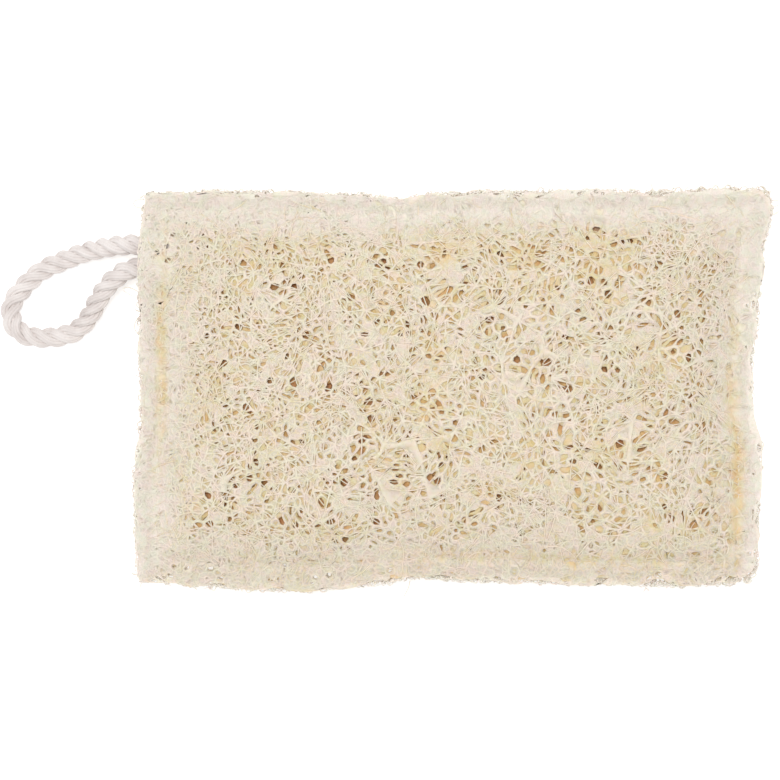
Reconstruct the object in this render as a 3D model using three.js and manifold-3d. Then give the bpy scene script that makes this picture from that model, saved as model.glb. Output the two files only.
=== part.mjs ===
// Natural loofah scrubbing pad. Two flattened layers of loofah net are sewn together round the
// edge, and the ends of a twisted cotton hanging loop are caught in the seam at the left side.
// Millimetres, +Z up: the pad lies flat, with its back layer on the surface that it rests on.

import * as THREE from 'three';
import { mergeVertices } from 'three/addons/utils/BufferGeometryUtils.js';
import Module from 'manifold-3d';

const wasm = await Module();
wasm.setup();

// The pad
const PAD_LENGTH = 155.25;
const PAD_WIDTH = 98.25;
const PAD_THICKNESS = 22;
const CORNER_RADIUS = 5;
const LAYER_GAP = 0.3;
const MIDDLE_Z = PAD_THICKNESS / 2;
const LAYER_HEIGHT = (PAD_THICKNESS - LAYER_GAP) / 2;

// The pressed seam and the frayed margin outside it
const SEAM_INSET = 5.5;
const SEAM_LAYER = 1.5;
const MARGIN_LAYER = 3.3;
const SWELL_RUN = 30;
const SWELL_POWER = 2.4;
const WARP_REACH = 30;
const FRAY = 0.9;
const FRAY_STEP = 3.6;

// A shallow waist across the front, where its top and bottom edges dip too
const WAIST = { x: -10, halfWidth: 10, depth: 1.1 };

// The raised net: cells about this far apart, with narrow ridges round pits
const CELL_SPACING = [6.0, 8.0];
const WELD = 0.8;
const RIDGE_LIFT = [-0.8, 0.5];
const PIT_DEPTH = [2.2, 4.6];
const PIT_SHARE = [0.66, 0.8];
const MEMBRANE_SHARE = 0.1;
const MEMBRANE_DEPTH = 0.35;
const THINNEST = 0.8;
const FLAT_SPOT_RADIUS = 11;

// The cells on both sides of the seam line, which are finer where the rope goes in
const SEAM_ROW = 2.5;
const EDGE_PITCH = 6.35;
const EDGE_JITTER = 1.3;
const ROPE_ZONE = 8;
const MARGIN_PIT_SHARE = [0.5, 0.66];
const MARGIN_PIT_DEPTH = [1.2, 2.0];

// The sewing thread, one long running stitch through both layers
const THREAD_RADIUS = 0.45;
const THREAD_SIDES = 6;
const THREAD_LIFT = 0.6;
const STITCHES_LONG_SIDE = 12;
const STITCHES_SHORT_SIDE = 8;
const NEEDLE_HOLE_RADIUS = THREAD_RADIUS + 0.3;

// The hanging loop
const ROPE_RADIUS = 2.4;
const ROPE_SIDES = 10;
const ROPE_STEPS = 34;
const ROPE_CLEARANCE = 0.3;
const ROPE_COVER = 1.0;
const ROPE_INSIDE = 9.5;
const ROPE_REST_Z = ROPE_RADIUS + 0.1;
const ROPE_UPPER_Y = 35.85;
const ROPE_LOWER_Y = 29.55;

// How far each edge stands out from the plain rectangle, as [place along the edge, outward]
const LEFT_EDGE = [[-49, 0], [-45, 0.5], [-25, 1.25], [-5, -0.5], [15, 0], [35, -0.2], [44, -1], [49, -1.5]];
const RIGHT_EDGE = [[-49, -2.5], [-45, -0.75], [-25, -0.25], [-15, 0.1], [-5, -2.2], [5, -2], [20, -0.5],
  [35, 0.75], [45, 3], [49, 2.6]];
const TOP_EDGE = [[-78, -0.3], [-52, 0.25], [-22, -0.5], [-12, -1.75], [-5, -0.3], [12, 0.25], [48, 0.25],
  [73, 1], [78, 0.5]];
const BOTTOM_EDGE = [[-78, -1], [-52, 1], [-37, 1.5], [-17, -0.25], [-8, -1.75], [8, -1], [32, -0.25],
  [62, 0.25], [78, -0.8]];

const HALF_LENGTH = PAD_LENGTH / 2;
const HALF_WIDTH = PAD_WIDTH / 2;
const ROPE_MIDDLE_Y = (ROPE_UPPER_Y + ROPE_LOWER_Y) / 2;

// The loop's route, seen from above: out of the seam, down to the surface, round and back
const ROPE_ROUTE = [
  [-HALF_LENGTH + ROPE_INSIDE, ROPE_UPPER_Y, MIDDLE_Z], [-HALF_LENGTH + 4, ROPE_UPPER_Y, MIDDLE_Z],
  [-78.5, 35.7, 10.8], [-81.3, 35.5, 10.3], [-85.1, 35.1, 8.9], [-89.9, 34.2, 6.6], [-93.8, 33.0, 4.7],
  [-97.7, 31.5, 3.2], [-102.4, 29.3, ROPE_REST_Z], [-106.1, 26.0, ROPE_REST_Z],
  [-109.0, 22.2, ROPE_REST_Z], [-109.7, 19.0, ROPE_REST_Z], [-108.8, 15.8, ROPE_REST_Z],
  [-105.7, 13.5, ROPE_REST_Z], [-101.5, 12.9, ROPE_REST_Z], [-97.4, 13.3, ROPE_REST_Z],
  [-93.6, 14.5, 2.9], [-90.3, 17.7, 4.4], [-87.9, 21.7, 6.5], [-84.7, 25.8, 8.7],
  [-81.1, 28.5, 10.3], [-78.5, 29.3, 10.8], [-HALF_LENGTH + 4, ROPE_LOWER_Y, MIDDLE_Z],
  [-HALF_LENGTH + ROPE_INSIDE, ROPE_LOWER_Y, MIDDLE_Z],
];

// Seeded random numbers, so that the net grows the same way each time
function randomSource(seed) {
  let state = seed;
  return () => {
    state = (state + 0x6d2b79f5) | 0;
    let t = Math.imul(state ^ (state >>> 15), 1 | state);
    t = (t + Math.imul(t ^ (t >>> 7), 61 | t)) ^ t;
    return ((t ^ (t >>> 14)) >>> 0) / 4294967296;
  };
}

const between = (random, [low, high]) => low + (high - low) * random();

function smoothStep(t) {
  const s = Math.min(Math.max(t, 0), 1);
  return s * s * (3 - 2 * s);
}

// An edge's outward shift at one place, eased from point to point
function edgeShift(profile, at) {
  const last = profile.length - 1;
  if (at <= profile[0][0]) return profile[0][1];
  for (let i = 0; i < last; i += 1) {
    const [a, low] = profile[i];
    const [b, high] = profile[i + 1];
    if (at <= b) return low + (high - low) * smoothStep((at - a) / (b - a));
  }
  return profile[last][1];
}

// Moves a point of the plain rectangle to where the uneven pad has it
function warped(x, y) {
  const pull = (distance) => Math.max(0, 1 - distance / WARP_REACH) ** 2;
  const dx = edgeShift(RIGHT_EDGE, y) * pull(HALF_LENGTH - x) - edgeShift(LEFT_EDGE, y) * pull(HALF_LENGTH + x);
  const dy = edgeShift(TOP_EDGE, x) * pull(HALF_WIDTH - y) - edgeShift(BOTTOM_EDGE, x) * pull(HALF_WIDTH + y);
  return [x + dx, y + dy];
}

// How far a point lies inside the pad's plain rounded rectangle
function insideEdge(x, y) {
  const px = Math.abs(x) - (HALF_LENGTH - CORNER_RADIUS);
  const py = Math.abs(y) - (HALF_WIDTH - CORNER_RADIUS);
  if (px > 0 && py > 0) return CORNER_RADIUS - Math.hypot(px, py);
  return CORNER_RADIUS - Math.max(px, py);
}

// The height that the rope's channel needs above the pad's middle, or 0 away from the rope
function channelHeight(x, y) {
  if (x > -HALF_LENGTH + ROPE_INSIDE + 2) return 0;
  const away = Math.min(Math.abs(y - ROPE_UPPER_Y), Math.abs(y - ROPE_LOWER_Y));
  const radius = ROPE_RADIUS + ROPE_CLEARANCE;
  return away < radius ? Math.sqrt(radius * radius - away * away) : 0;
}

// A layer's height above the pad's middle: a thin margin, the pressed seam and the swelling pad
function layerHeight(x, y, waist) {
  const inside = insideEdge(x, y);
  let height = SEAM_LAYER;
  if (inside < SEAM_INSET) {
    height += (MARGIN_LAYER - SEAM_LAYER) * smoothStep((SEAM_INSET - inside) / (SEAM_INSET - 1));
  } else {
    const t = Math.min((inside - SEAM_INSET) / SWELL_RUN, 1);
    const swell = 1 - (1 - t) ** SWELL_POWER;
    height += (LAYER_HEIGHT + 0.3 - SEAM_LAYER) * swell;
    height -= waist * WAIST.depth * swell * Math.exp(-(((x - WAIST.x) / WAIST.halfWidth) ** 2));
  }
  const spread = Math.max(0, Math.abs(y - ROPE_MIDDLE_Y) - (ROPE_UPPER_Y - ROPE_MIDDLE_Y));
  const cover = ROPE_RADIUS + ROPE_CLEARANCE + ROPE_COVER;
  const over = x < -HALF_LENGTH + ROPE_INSIDE + 4 ? cover - 0.45 * Math.max(0, spread - 1) : 0;
  return Math.max(height, over);
}

// The places that the net's cells grow from: pairs on both sides of the seam line, so that a
// line of cell walls runs along it, and scattered ones inside
function cellSeeds(random) {
  const seeds = [];
  const outer = SEAM_INSET - SEAM_ROW;
  const inner = SEAM_INSET + SEAM_ROW;
  const reachX = HALF_LENGTH - inner;
  const reachY = HALF_WIDTH - inner;
  const jitter = () => (random() * 2 - 1) * EDGE_JITTER;
  for (let x = -reachX; x < reachX; x += EDGE_PITCH) {
    const [top, bottom] = [x + jitter(), x + jitter()];
    for (const depth of [outer, inner]) seeds.push([top, HALF_WIDTH - depth], [bottom, depth - HALF_WIDTH]);
  }
  for (let y = -reachY; y < reachY; y += EDGE_PITCH) {
    const right = y + jitter();
    for (const depth of [outer, inner]) seeds.push([HALF_LENGTH - depth, right]);
    const left = y + jitter();
    if (Math.abs(left - ROPE_MIDDLE_Y) < ROPE_ZONE) continue;
    for (const depth of [outer, inner]) seeds.push([depth - HALF_LENGTH, left]);
  }
  const finePitch = (ROPE_UPPER_Y - ROPE_LOWER_Y) / 2;
  for (let k = -1.5; k <= 1.5; k += 1) {
    for (const depth of [outer, inner]) seeds.push([depth - HALF_LENGTH, ROPE_MIDDLE_Y + k * finePitch]);
  }
  for (const sx of [-1, 1]) {
    for (const sy of [-1, 1]) seeds.push([sx * (HALF_LENGTH - outer - 1), sy * (HALF_WIDTH - outer - 1)]);
  }
  const border = inner + SEAM_ROW + 1;
  for (let tries = 0; tries < 6000; tries += 1) {
    const x = (random() * 2 - 1) * (HALF_LENGTH - border);
    const y = (random() * 2 - 1) * (HALF_WIDTH - border);
    const apart = between(random, CELL_SPACING);
    if (seeds.every(([a, b]) => Math.hypot(a - x, b - y) > apart)) seeds.push([x, y]);
  }
  return seeds;
}

// The part of a convex polygon that is nearer to one place than to another
function nearerPart(polygon, [ax, ay], [bx, by]) {
  const side = ([x, y]) => (x - (ax + bx) / 2) * (bx - ax) + (y - (ay + by) / 2) * (by - ay);
  const kept = [];
  for (let i = 0; i < polygon.length; i += 1) {
    const p = polygon[i];
    const q = polygon[(i + 1) % polygon.length];
    const sp = side(p);
    const sq = side(q);
    if (sp <= 0) kept.push(p);
    if ((sp < 0 && sq > 0) || (sp > 0 && sq < 0)) {
      const t = sp / (sp - sq);
      kept.push([p[0] + (q[0] - p[0]) * t, p[1] + (q[1] - p[1]) * t]);
    }
  }
  return kept;
}

// The pad's plain outline, counterclockwise
function plainOutline() {
  const points = [];
  for (let quarter = 0; quarter < 4; quarter += 1) {
    const sx = quarter === 0 || quarter === 3 ? 1 : -1;
    const sy = quarter < 2 ? 1 : -1;
    for (let step = 0; step <= 2; step += 1) {
      const angle = ((quarter + step / 2) * Math.PI) / 2;
      points.push([
        sx * (HALF_LENGTH - CORNER_RADIUS) + CORNER_RADIUS * Math.cos(angle),
        sy * (HALF_WIDTH - CORNER_RADIUS) + CORNER_RADIUS * Math.sin(angle),
      ]);
    }
  }
  return points;
}

// The cells as lists of corner numbers, with corners closer than WELD drawn into one node
function netCells(seeds) {
  const corners = [];
  const cornerAt = ([x, y]) => {
    const found = corners.findIndex(([a, b]) => Math.hypot(a - x, b - y) < WELD);
    return found >= 0 ? found : corners.push([x, y]) - 1;
  };
  const cells = [];
  for (const seed of seeds) {
    let polygon = plainOutline();
    for (const other of seeds) {
      const apart = Math.hypot(other[0] - seed[0], other[1] - seed[1]);
      if (other !== seed && apart < 4 * CELL_SPACING[1]) polygon = nearerPart(polygon, seed, other);
    }
    const cell = polygon.map(cornerAt).filter((c, i, all) => c !== all[(i + 1) % all.length]);
    if (cell.length > 2) cells.push(cell);
  }
  return { corners, cells };
}

// Splits the cells' outside edges into short uneven steps: the cut and frayed margin
function frayEdges({ corners, cells }, random) {
  const owners = new Map();
  for (const cell of cells) {
    cell.forEach((a, i) => owners.set(`${a}_${cell[(i + 1) % cell.length]}`, cell));
  }
  const edge = new Set();
  const frayed = cells.map((cell) => {
    const ring = [];
    cell.forEach((a, i) => {
      const b = cell[(i + 1) % cell.length];
      ring.push(a);
      if (owners.has(`${b}_${a}`)) return;
      edge.add(a).add(b);
      const [ax, ay] = corners[a];
      const [bx, by] = corners[b];
      const length = Math.hypot(bx - ax, by - ay);
      const steps = Math.max(1, Math.round(length / FRAY_STEP));
      for (let k = 1; k < steps; k += 1) {
        const out = FRAY * (k % 2 ? random() : -random());
        const t = k / steps;
        const place = [ax + (bx - ax) * t + ((by - ay) / length) * out, ay + (by - ay) * t - ((bx - ax) / length) * out];
        const added = corners.push(place) - 1;
        ring.push(added);
        edge.add(added);
      }
    });
    return ring;
  });
  return { corners, cells: frayed, edge };
}

// One layer of the net as a closed surface: ridges round pits above, flat below. A layer that the
// pad rests on has a flat spot of skin in its middle.
function layerSurface(random, { waist, flatSpot }) {
  const { corners, cells, edge } = frayEdges(netCells(cellSeeds(random)), random);
  const vertices = [];
  const triangles = [];
  const skin = (x, y) => {
    const channel = channelHeight(x, y);
    return channel > 0 ? channel + THINNEST : THINNEST;
  };
  const addVertex = (x, y, z) => vertices.push(...warped(x, y), z) / 3 - 1;
  const inFlatSpot = (x, y) => Math.hypot(x, y) < flatSpot;
  const ridge = corners.map(([x, y]) => {
    const onSeam = Math.abs(insideEdge(x, y) - SEAM_INSET) < 0.9;
    const lift = onSeam || inFlatSpot(x, y) ? 0 : between(random, RIDGE_LIFT);
    const height = layerHeight(x, y, waist) + lift * (insideEdge(x, y) < SEAM_INSET ? 0.7 : 1);
    return addVertex(x, y, Math.min(Math.max(height, skin(x, y)), LAYER_HEIGHT));
  });
  for (const cell of cells) {
    const ring = cell.map((c) => corners[c]);
    const cx = ring.reduce((sum, p) => sum + p[0], 0) / ring.length;
    const cy = ring.reduce((sum, p) => sum + p[1], 0) / ring.length;
    const inside = insideEdge(cx, cy);
    const bySeam = inside < SEAM_INSET + SEAM_ROW + 1;
    const share = between(random, bySeam ? MARGIN_PIT_SHARE : PIT_SHARE);
    let depth = between(random, bySeam ? MARGIN_PIT_DEPTH : PIT_DEPTH);
    if (random() < MEMBRANE_SHARE) depth = MEMBRANE_DEPTH;
    if (inFlatSpot(cx, cy)) depth = 0;
    const pit = ring.map(([x, y]) => {
      const px = cx + (x - cx) * share;
      const py = cy + (y - cy) * share;
      const top = Math.min(layerHeight(px, py, waist), LAYER_HEIGHT);
      return addVertex(px, py, Math.max(top - depth, skin(px, py)));
    });
    cell.forEach((a, i) => {
      const j = (i + 1) % cell.length;
      triangles.push(ridge[a], ridge[cell[j]], pit[j], ridge[a], pit[j], pit[i]);
    });
    const floor = pit.map((v) => new THREE.Vector2(vertices[3 * v], vertices[3 * v + 1]));
    for (const [a, b, c] of THREE.ShapeUtils.triangulateShape(floor, [])) triangles.push(pit[a], pit[b], pit[c]);
  }
  addUnderside(vertices, triangles, corners, cells, edge, ridge);
  return { vertices, triangles };
}

// The side wall below the layer's outside ridge, and the flat inner face
function addUnderside(vertices, triangles, corners, cells, edge, ridge) {
  const shared = new Set();
  const next = new Map();
  for (const cell of cells) cell.forEach((a, i) => shared.add(`${a}_${cell[(i + 1) % cell.length]}`));
  for (const pair of shared) {
    const [a, b] = pair.split('_').map(Number);
    if (!shared.has(`${b}_${a}`)) next.set(a, b);
  }
  const below = new Map();
  for (const a of next.keys()) {
    below.set(a, vertices.push(vertices[3 * ridge[a]], vertices[3 * ridge[a] + 1], 0) / 3 - 1);
  }
  const loop = [];
  let at = next.keys().next().value;
  do {
    loop.push(at);
    const to = next.get(at);
    triangles.push(ridge[at], below.get(at), below.get(to), ridge[at], below.get(to), ridge[to]);
    at = to;
  } while (at !== loop[0]);
  const outline = loop.map((c) => new THREE.Vector2(vertices[3 * ridge[c]], vertices[3 * ridge[c] + 1]));
  for (const [a, b, c] of THREE.ShapeUtils.triangulateShape(outline, [])) {
    triangles.push(below.get(loop[a]), below.get(loop[c]), below.get(loop[b]));
  }
}

// Sweeps a ring of points through stations and closes it, with flat ends or as one endless loop
function sweptSurface(rings, endless) {
  const sides = rings[0].length;
  const vertices = rings.flat().flatMap((p) => [p.x, p.y, p.z]);
  const triangles = [];
  const spans = endless ? rings.length : rings.length - 1;
  for (let i = 0; i < spans; i += 1) {
    const j = (i + 1) % rings.length;
    for (let k = 0; k < sides; k += 1) {
      const m = (k + 1) % sides;
      triangles.push(i * sides + k, i * sides + m, j * sides + m, i * sides + k, j * sides + m, j * sides + k);
    }
  }
  if (!endless) {
    const end = (rings.length - 1) * sides;
    for (let k = 1; k < sides - 1; k += 1) triangles.push(0, k + 1, k, end, end + k, end + k + 1);
  }
  return { vertices, triangles };
}

// Where the needle went through, going round the seam once from the upper left corner
function needlePlaces() {
  const x = HALF_LENGTH - SEAM_INSET;
  const y = HALF_WIDTH - SEAM_INSET;
  const places = [];
  const walk = (from, to, count) => {
    for (let i = 0; i < count; i += 1) {
      const t = i / count;
      places.push([from[0] + (to[0] - from[0]) * t, from[1] + (to[1] - from[1]) * t]);
    }
  };
  walk([-x, y], [-x, -y], STITCHES_SHORT_SIDE);
  walk([-x, -y], [x, -y], STITCHES_LONG_SIDE);
  walk([x, -y], [x, y], STITCHES_SHORT_SIDE);
  walk([x, y], [-x, y], STITCHES_LONG_SIDE);
  return places;
}

// The running stitch: over the front from one hole to the next, down, along the back and up
function threadSurface() {
  const places = needlePlaces();
  const stations = [];
  places.forEach(([x, y], i) => {
    const [nx, ny] = places[(i + 1) % places.length];
    const side = i % 2 ? -1 : 1;
    const heightAt = (px, py) => layerHeight(px, py, 0) + LAYER_GAP / 2 + THREAD_LIFT + THREAD_RADIUS;
    stations.push([x, y, side * heightAt(x, y)]);
    const [mx, my] = [(x + nx) / 2, (y + ny) / 2];
    if (heightAt(mx, my) > (heightAt(x, y) + heightAt(nx, ny)) / 2 + 0.3) {
      const [qx, qy] = [(x + 3 * nx) / 4, (y + 3 * ny) / 4];
      stations.push([mx, my, side * heightAt(mx, my)], [qx, qy, side * heightAt(qx, qy)]);
    }
    stations.push([nx, ny, side * heightAt(nx, ny)]);
  });
  const points = stations.map(([x, y, z]) => new THREE.Vector3(...warped(x, y), z));
  const outward = new THREE.Vector3();
  const rings = points.map((point, i) => {
    const before = points[(i + points.length - 1) % points.length];
    const after = points[(i + 1) % points.length];
    const arriving = point.clone().sub(before).normalize();
    const leaving = after.clone().sub(point).normalize();
    const tangent = arriving.clone().add(leaving).normalize();
    const flat = new THREE.Vector3(after.x - before.x, after.y - before.y, 0).normalize();
    outward.set(-flat.y, flat.x, 0);
    const rise = new THREE.Vector3().crossVectors(tangent, outward).normalize();
    const stretch = 1 / Math.max(0.55, tangent.dot(arriving));
    return Array.from({ length: THREAD_SIDES }, (_, k) => {
      const angle = (2 * Math.PI * k) / THREAD_SIDES;
      return point.clone()
        .addScaledVector(outward, THREAD_RADIUS * Math.cos(angle))
        .addScaledVector(rise, THREAD_RADIUS * stretch * Math.sin(angle));
    });
  });
  return sweptSurface(rings, true);
}

// The upright needle holes, as one cutter of six-sided posts
function needleHoles() {
  const vertices = [];
  const triangles = [];
  for (const place of needlePlaces()) {
    const [cx, cy] = warped(...place);
    const rings = [-MIDDLE_Z, MIDDLE_Z].map((z) =>
      Array.from({ length: THREAD_SIDES }, (_, k) => {
        const angle = (2 * Math.PI * k) / THREAD_SIDES;
        return new THREE.Vector3(
          cx + NEEDLE_HOLE_RADIUS * Math.cos(angle), cy + NEEDLE_HOLE_RADIUS * Math.sin(angle), z);
      }));
    const post = sweptSurface(rings, false);
    const first = vertices.length / 3;
    vertices.push(...post.vertices);
    triangles.push(...post.triangles.map((v) => v + first));
  }
  return { vertices, triangles };
}

// The rope as a plain tube on its route, its heights counted from the surface the pad lies on
function ropeGeometry(radius) {
  const path = new THREE.CatmullRomCurve3(ROPE_ROUTE.map((p) => new THREE.Vector3(...p)), false, 'centripetal');
  const section = new THREE.Shape(Array.from({ length: ROPE_SIDES }, (_, k) => {
    const angle = (2 * Math.PI * k) / ROPE_SIDES;
    return new THREE.Vector2(radius * Math.cos(angle), radius * Math.sin(angle));
  }));
  return new THREE.ExtrudeGeometry(section, { steps: ROPE_STEPS, extrudePath: path, curveSegments: 1 });
}

function solidFromGeometry(geometry) {
  const bare = geometry.clone();
  bare.deleteAttribute('normal');
  bare.deleteAttribute('uv');
  const merged = mergeVertices(bare, 1e-4);
  return new wasm.Manifold(new wasm.Mesh({
    numProp: 3,
    vertProperties: Float32Array.from(merged.attributes.position.array),
    triVerts: Uint32Array.from(merged.index.array),
  }));
}

function geometryFromSurface({ vertices, triangles }) {
  const geometry = new THREE.BufferGeometry();
  geometry.setAttribute('position', new THREE.Float32BufferAttribute(vertices, 3));
  geometry.setIndex(triangles);
  return geometry;
}

const solidFromSurface = (surface) => solidFromGeometry(geometryFromSurface(surface));

function geometryFromSolid(solid) {
  const { vertProperties, triVerts } = solid.getMesh();
  const geometry = geometryFromSurface({ vertices: Array.from(vertProperties), triangles: Array.from(triVerts) });
  const plain = geometry.toNonIndexed();
  plain.computeVertexNormals();
  return plain;
}

const loofah = new THREE.MeshStandardMaterial({ color: 0xe2d4ba, roughness: 0.85, metalness: 0 });
const loofahBack = new THREE.MeshStandardMaterial({ color: 0xd8c6a2, roughness: 0.85, metalness: 0 });
const cotton = new THREE.MeshStandardMaterial({ color: 0xe3dcd7, roughness: 0.9, metalness: 0 });
const thread = new THREE.MeshStandardMaterial({ color: 0xf0eadc, roughness: 0.7, metalness: 0 });

const pad = new THREE.Group();

function place(name, geometry, material) {
  const mesh = new THREE.Mesh(geometry, material);
  mesh.name = name;
  pad.add(mesh);
  return mesh;
}

// The layers are made about the pad's middle plane, each facing up, and cut for thread and rope
const channels = solidFromGeometry(ropeGeometry(ROPE_RADIUS + ROPE_CLEARANCE).translate(0, 0, -MIDDLE_Z));
const holes = solidFromSurface(needleHoles());

function layerGeometry({ seed, side, waist, flatSpot }) {
  const { vertices, triangles } = layerSurface(randomSource(seed), { waist, flatSpot });
  for (let i = 2; i < vertices.length; i += 3) vertices[i] = side * (vertices[i] + LAYER_GAP / 2);
  if (side < 0) triangles.reverse();
  return geometryFromSolid(solidFromSurface({ vertices, triangles }).subtract(holes).subtract(channels));
}

const front = layerGeometry({ seed: 11, side: 1, waist: 1, flatSpot: 0 });
const back = layerGeometry({ seed: 29, side: -1, waist: 0, flatSpot: FLAT_SPOT_RADIUS });
place('front_layer', front, loofah).position.z = MIDDLE_Z;
place('back_layer', back, loofahBack).position.z = MIDDLE_Z;
place('seam_thread', geometryFromSurface(threadSurface()), thread).position.z = MIDDLE_Z;
place('rope_loop', ropeGeometry(ROPE_RADIUS), cotton);

// The origin lies under the middle of the layers, on the surface that the pad lies on
pad.updateMatrixWorld(true);
const layers = new THREE.Box3();
for (const name of ['front_layer', 'back_layer']) layers.expandByObject(pad.getObjectByName(name), true);
pad.position.set(-(layers.min.x + layers.max.x) / 2, -(layers.min.y + layers.max.y) / 2, -layers.min.z);

export default pad;
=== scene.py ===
# A natural loofah scrubbing pad: two flattened layers of loofah net sewn together round the edge,
# with a hanging loop of three-strand cotton rope caught in the seam at the left side.
import math
import random

import bmesh
import bpy
import numpy as np
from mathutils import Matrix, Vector, kdtree, noise
from mathutils.geometry import delaunay_2d_cdt


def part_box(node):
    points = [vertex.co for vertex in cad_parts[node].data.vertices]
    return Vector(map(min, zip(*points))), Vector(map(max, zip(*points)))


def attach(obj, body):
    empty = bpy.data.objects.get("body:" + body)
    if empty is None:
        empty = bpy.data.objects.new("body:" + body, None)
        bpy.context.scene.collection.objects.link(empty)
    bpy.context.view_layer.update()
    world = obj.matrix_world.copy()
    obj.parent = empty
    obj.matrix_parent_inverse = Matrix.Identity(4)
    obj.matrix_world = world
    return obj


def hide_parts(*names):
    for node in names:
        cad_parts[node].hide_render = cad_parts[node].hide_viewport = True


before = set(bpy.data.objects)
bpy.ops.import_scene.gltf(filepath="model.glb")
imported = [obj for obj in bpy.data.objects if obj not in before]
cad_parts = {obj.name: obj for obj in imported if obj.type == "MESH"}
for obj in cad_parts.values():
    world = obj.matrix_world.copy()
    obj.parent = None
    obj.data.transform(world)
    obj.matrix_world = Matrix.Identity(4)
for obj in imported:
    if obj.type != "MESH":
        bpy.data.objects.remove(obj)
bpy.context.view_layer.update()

MM = 0.001

# Camera. It looks straight down on the pad, as the photograph does, through a long lens, with
# the photograph's 780 pixels spanning 195 mm at the height of the pad's sewn middle.
PIXEL = 0.25 * MM
FRAME_PIXELS = 780
PAD_MIDDLE_Z = 11.0 * MM
LENS = 110.0
SENSOR = 36.0
VIEW_MIDDLE = Vector((-15.44 * MM, 0.0, PAD_MIDDLE_Z))

camera_data = bpy.data.cameras.new("camera")
camera_data.lens = LENS
camera_data.sensor_width = SENSOR
camera_data.clip_end = 10.0
camera = bpy.data.objects.new("camera", camera_data)
bpy.context.scene.collection.objects.link(camera)
camera.location = VIEW_MIDDLE + Vector((0, 0, FRAME_PIXELS * PIXEL * LENS / SENSOR))
bpy.context.scene.camera = camera


# Hanging loop. One length of undyed cotton rope, three strands laid up right-handed, each strand
# of seven softly twisted yarns. Both ends go into the seam between the layers, and the loop
# droops to the surface and lies there.
ROPE_LAY = 11.8 * MM
STRANDS = 3
STRAND_OFF_AXIS = 1.30 * MM
YARNS = 7
YARN_OFF_STRAND = 0.88 * MM
YARN_RADIUS = 0.49 * MM
YARN_LAY = 14.0 * MM
ROPE_STEP = 0.5 * MM
PAD_HALF_LENGTH = 77.625 * MM
ROPE_INSIDE = 9.5 * MM
ROPE_UPPER_Y, ROPE_LOWER_Y = 35.85 * MM, 29.55 * MM
ROPE_ROUTE = [
    (-68.1, 35.85, 11.0), (-73.6, 35.95, 11.0), (-78.5, 36.0, 10.8), (-81.3, 35.95, 10.3),
    (-85.1, 35.6, 8.9), (-89.9, 34.8, 6.6), (-94.0, 33.7, 4.9), (-98.0, 32.2, 3.4),
    (-102.9, 30.0, 2.7), (-106.9, 26.6, 2.7), (-110.2, 22.5, 2.7), (-111.0, 19.1, 2.7),
    (-110.0, 15.6, 2.7), (-106.5, 13.3, 2.7), (-101.7, 12.9, 2.7), (-97.5, 13.5, 2.7),
    (-93.9, 15.0, 3.1), (-90.8, 18.3, 4.5), (-88.4, 22.3, 6.6), (-85.1, 26.6, 8.8),
    (-81.3, 29.3, 10.3), (-78.5, 30.1, 10.8), (-73.6, 30.1, 11.0), (-68.1, 29.55, 11.0),
]

# The rope's two hidden ends in the frame tell where the pad's own plan lies
rope_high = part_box("rope_loop")[1]
rope_ends = [v.co.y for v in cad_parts["rope_loop"].data.vertices
             if v.co.x > rope_high.x - 0.01 * MM]
PLAN_X = rope_high.x - (ROPE_INSIDE - PAD_HALF_LENGTH)
PLAN_Y = sum(rope_ends) / len(rope_ends) - (ROPE_UPPER_Y + ROPE_LOWER_Y) / 2


def smooth_route(points, per_span):
    """Points along a smooth curve through the given ones."""
    p = [2 * points[0] - points[1], *points, 2 * points[-1] - points[-2]]
    made = []
    for a, b, c, d in zip(p, p[1:], p[2:], p[3:]):
        for k in range(per_span):
            t = k / per_span
            made.append(0.5 * (2 * b + (c - a) * t + (2 * a - 5 * b + 4 * c - d) * t * t
                               + (3 * b - a - 3 * c + d) * t ** 3))
    made.append(points[-1])
    return made


def evenly(points, step):
    """The same line with its points a step apart, and its length."""
    line = np.array(points)
    along = np.concatenate([[0], np.cumsum(np.linalg.norm(np.diff(line, axis=0), axis=1))])
    at = np.linspace(0, along[-1], int(along[-1] / step) + 1)
    return np.stack([np.interp(at, along, line[:, k]) for k in range(3)], axis=1), float(along[-1])


def carried_frames(line):
    """Two directions across the line at each point, carried along it without twist."""
    tangent = np.gradient(line, axis=0)
    tangent /= np.linalg.norm(tangent, axis=1)[:, None]
    side = np.cross(tangent[0], [0.0, 0.0, 1.0])
    sides = []
    for t in tangent:
        side = side - t * side.dot(t)
        side /= np.linalg.norm(side)
        sides.append(side)
    sides = np.array(sides)
    return sides, np.cross(tangent, sides)


def fibres(name, lines, corners=0):
    """One mesh of round closed fibres: each line is a list of points and a list of radii."""
    curve = bpy.data.curves.new(name, "CURVE")
    curve.dimensions = "3D"
    curve.bevel_depth = 1.0
    curve.bevel_resolution = corners
    curve.use_fill_caps = True
    for points, radii in lines:
        spline = curve.splines.new("POLY")
        spline.points.add(len(points) - 1)
        spline.points.foreach_set("co", np.column_stack([points, np.ones(len(points))]).ravel())
        spline.points.foreach_set("radius", np.asarray(radii, float))
    laid = bpy.data.objects.new(name, curve)
    bpy.context.scene.collection.objects.link(laid)
    bpy.context.view_layer.update()
    finished = laid.evaluated_get(bpy.context.evaluated_depsgraph_get())
    mesh = bpy.data.meshes.new_from_object(finished)
    bpy.data.objects.remove(laid)
    mesh.name = name
    made = bpy.data.objects.new(name, mesh)
    bpy.context.scene.collection.objects.link(made)
    return made


route = [Vector((x * MM + PLAN_X, y * MM + PLAN_Y, z * MM)) for x, y, z in ROPE_ROUTE]
rope_line, rope_length = evenly(smooth_route(route, 8), ROPE_STEP)
rope_side, rope_up = carried_frames(rope_line)
rope_along = np.linspace(0, rope_length, len(rope_line))

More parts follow.
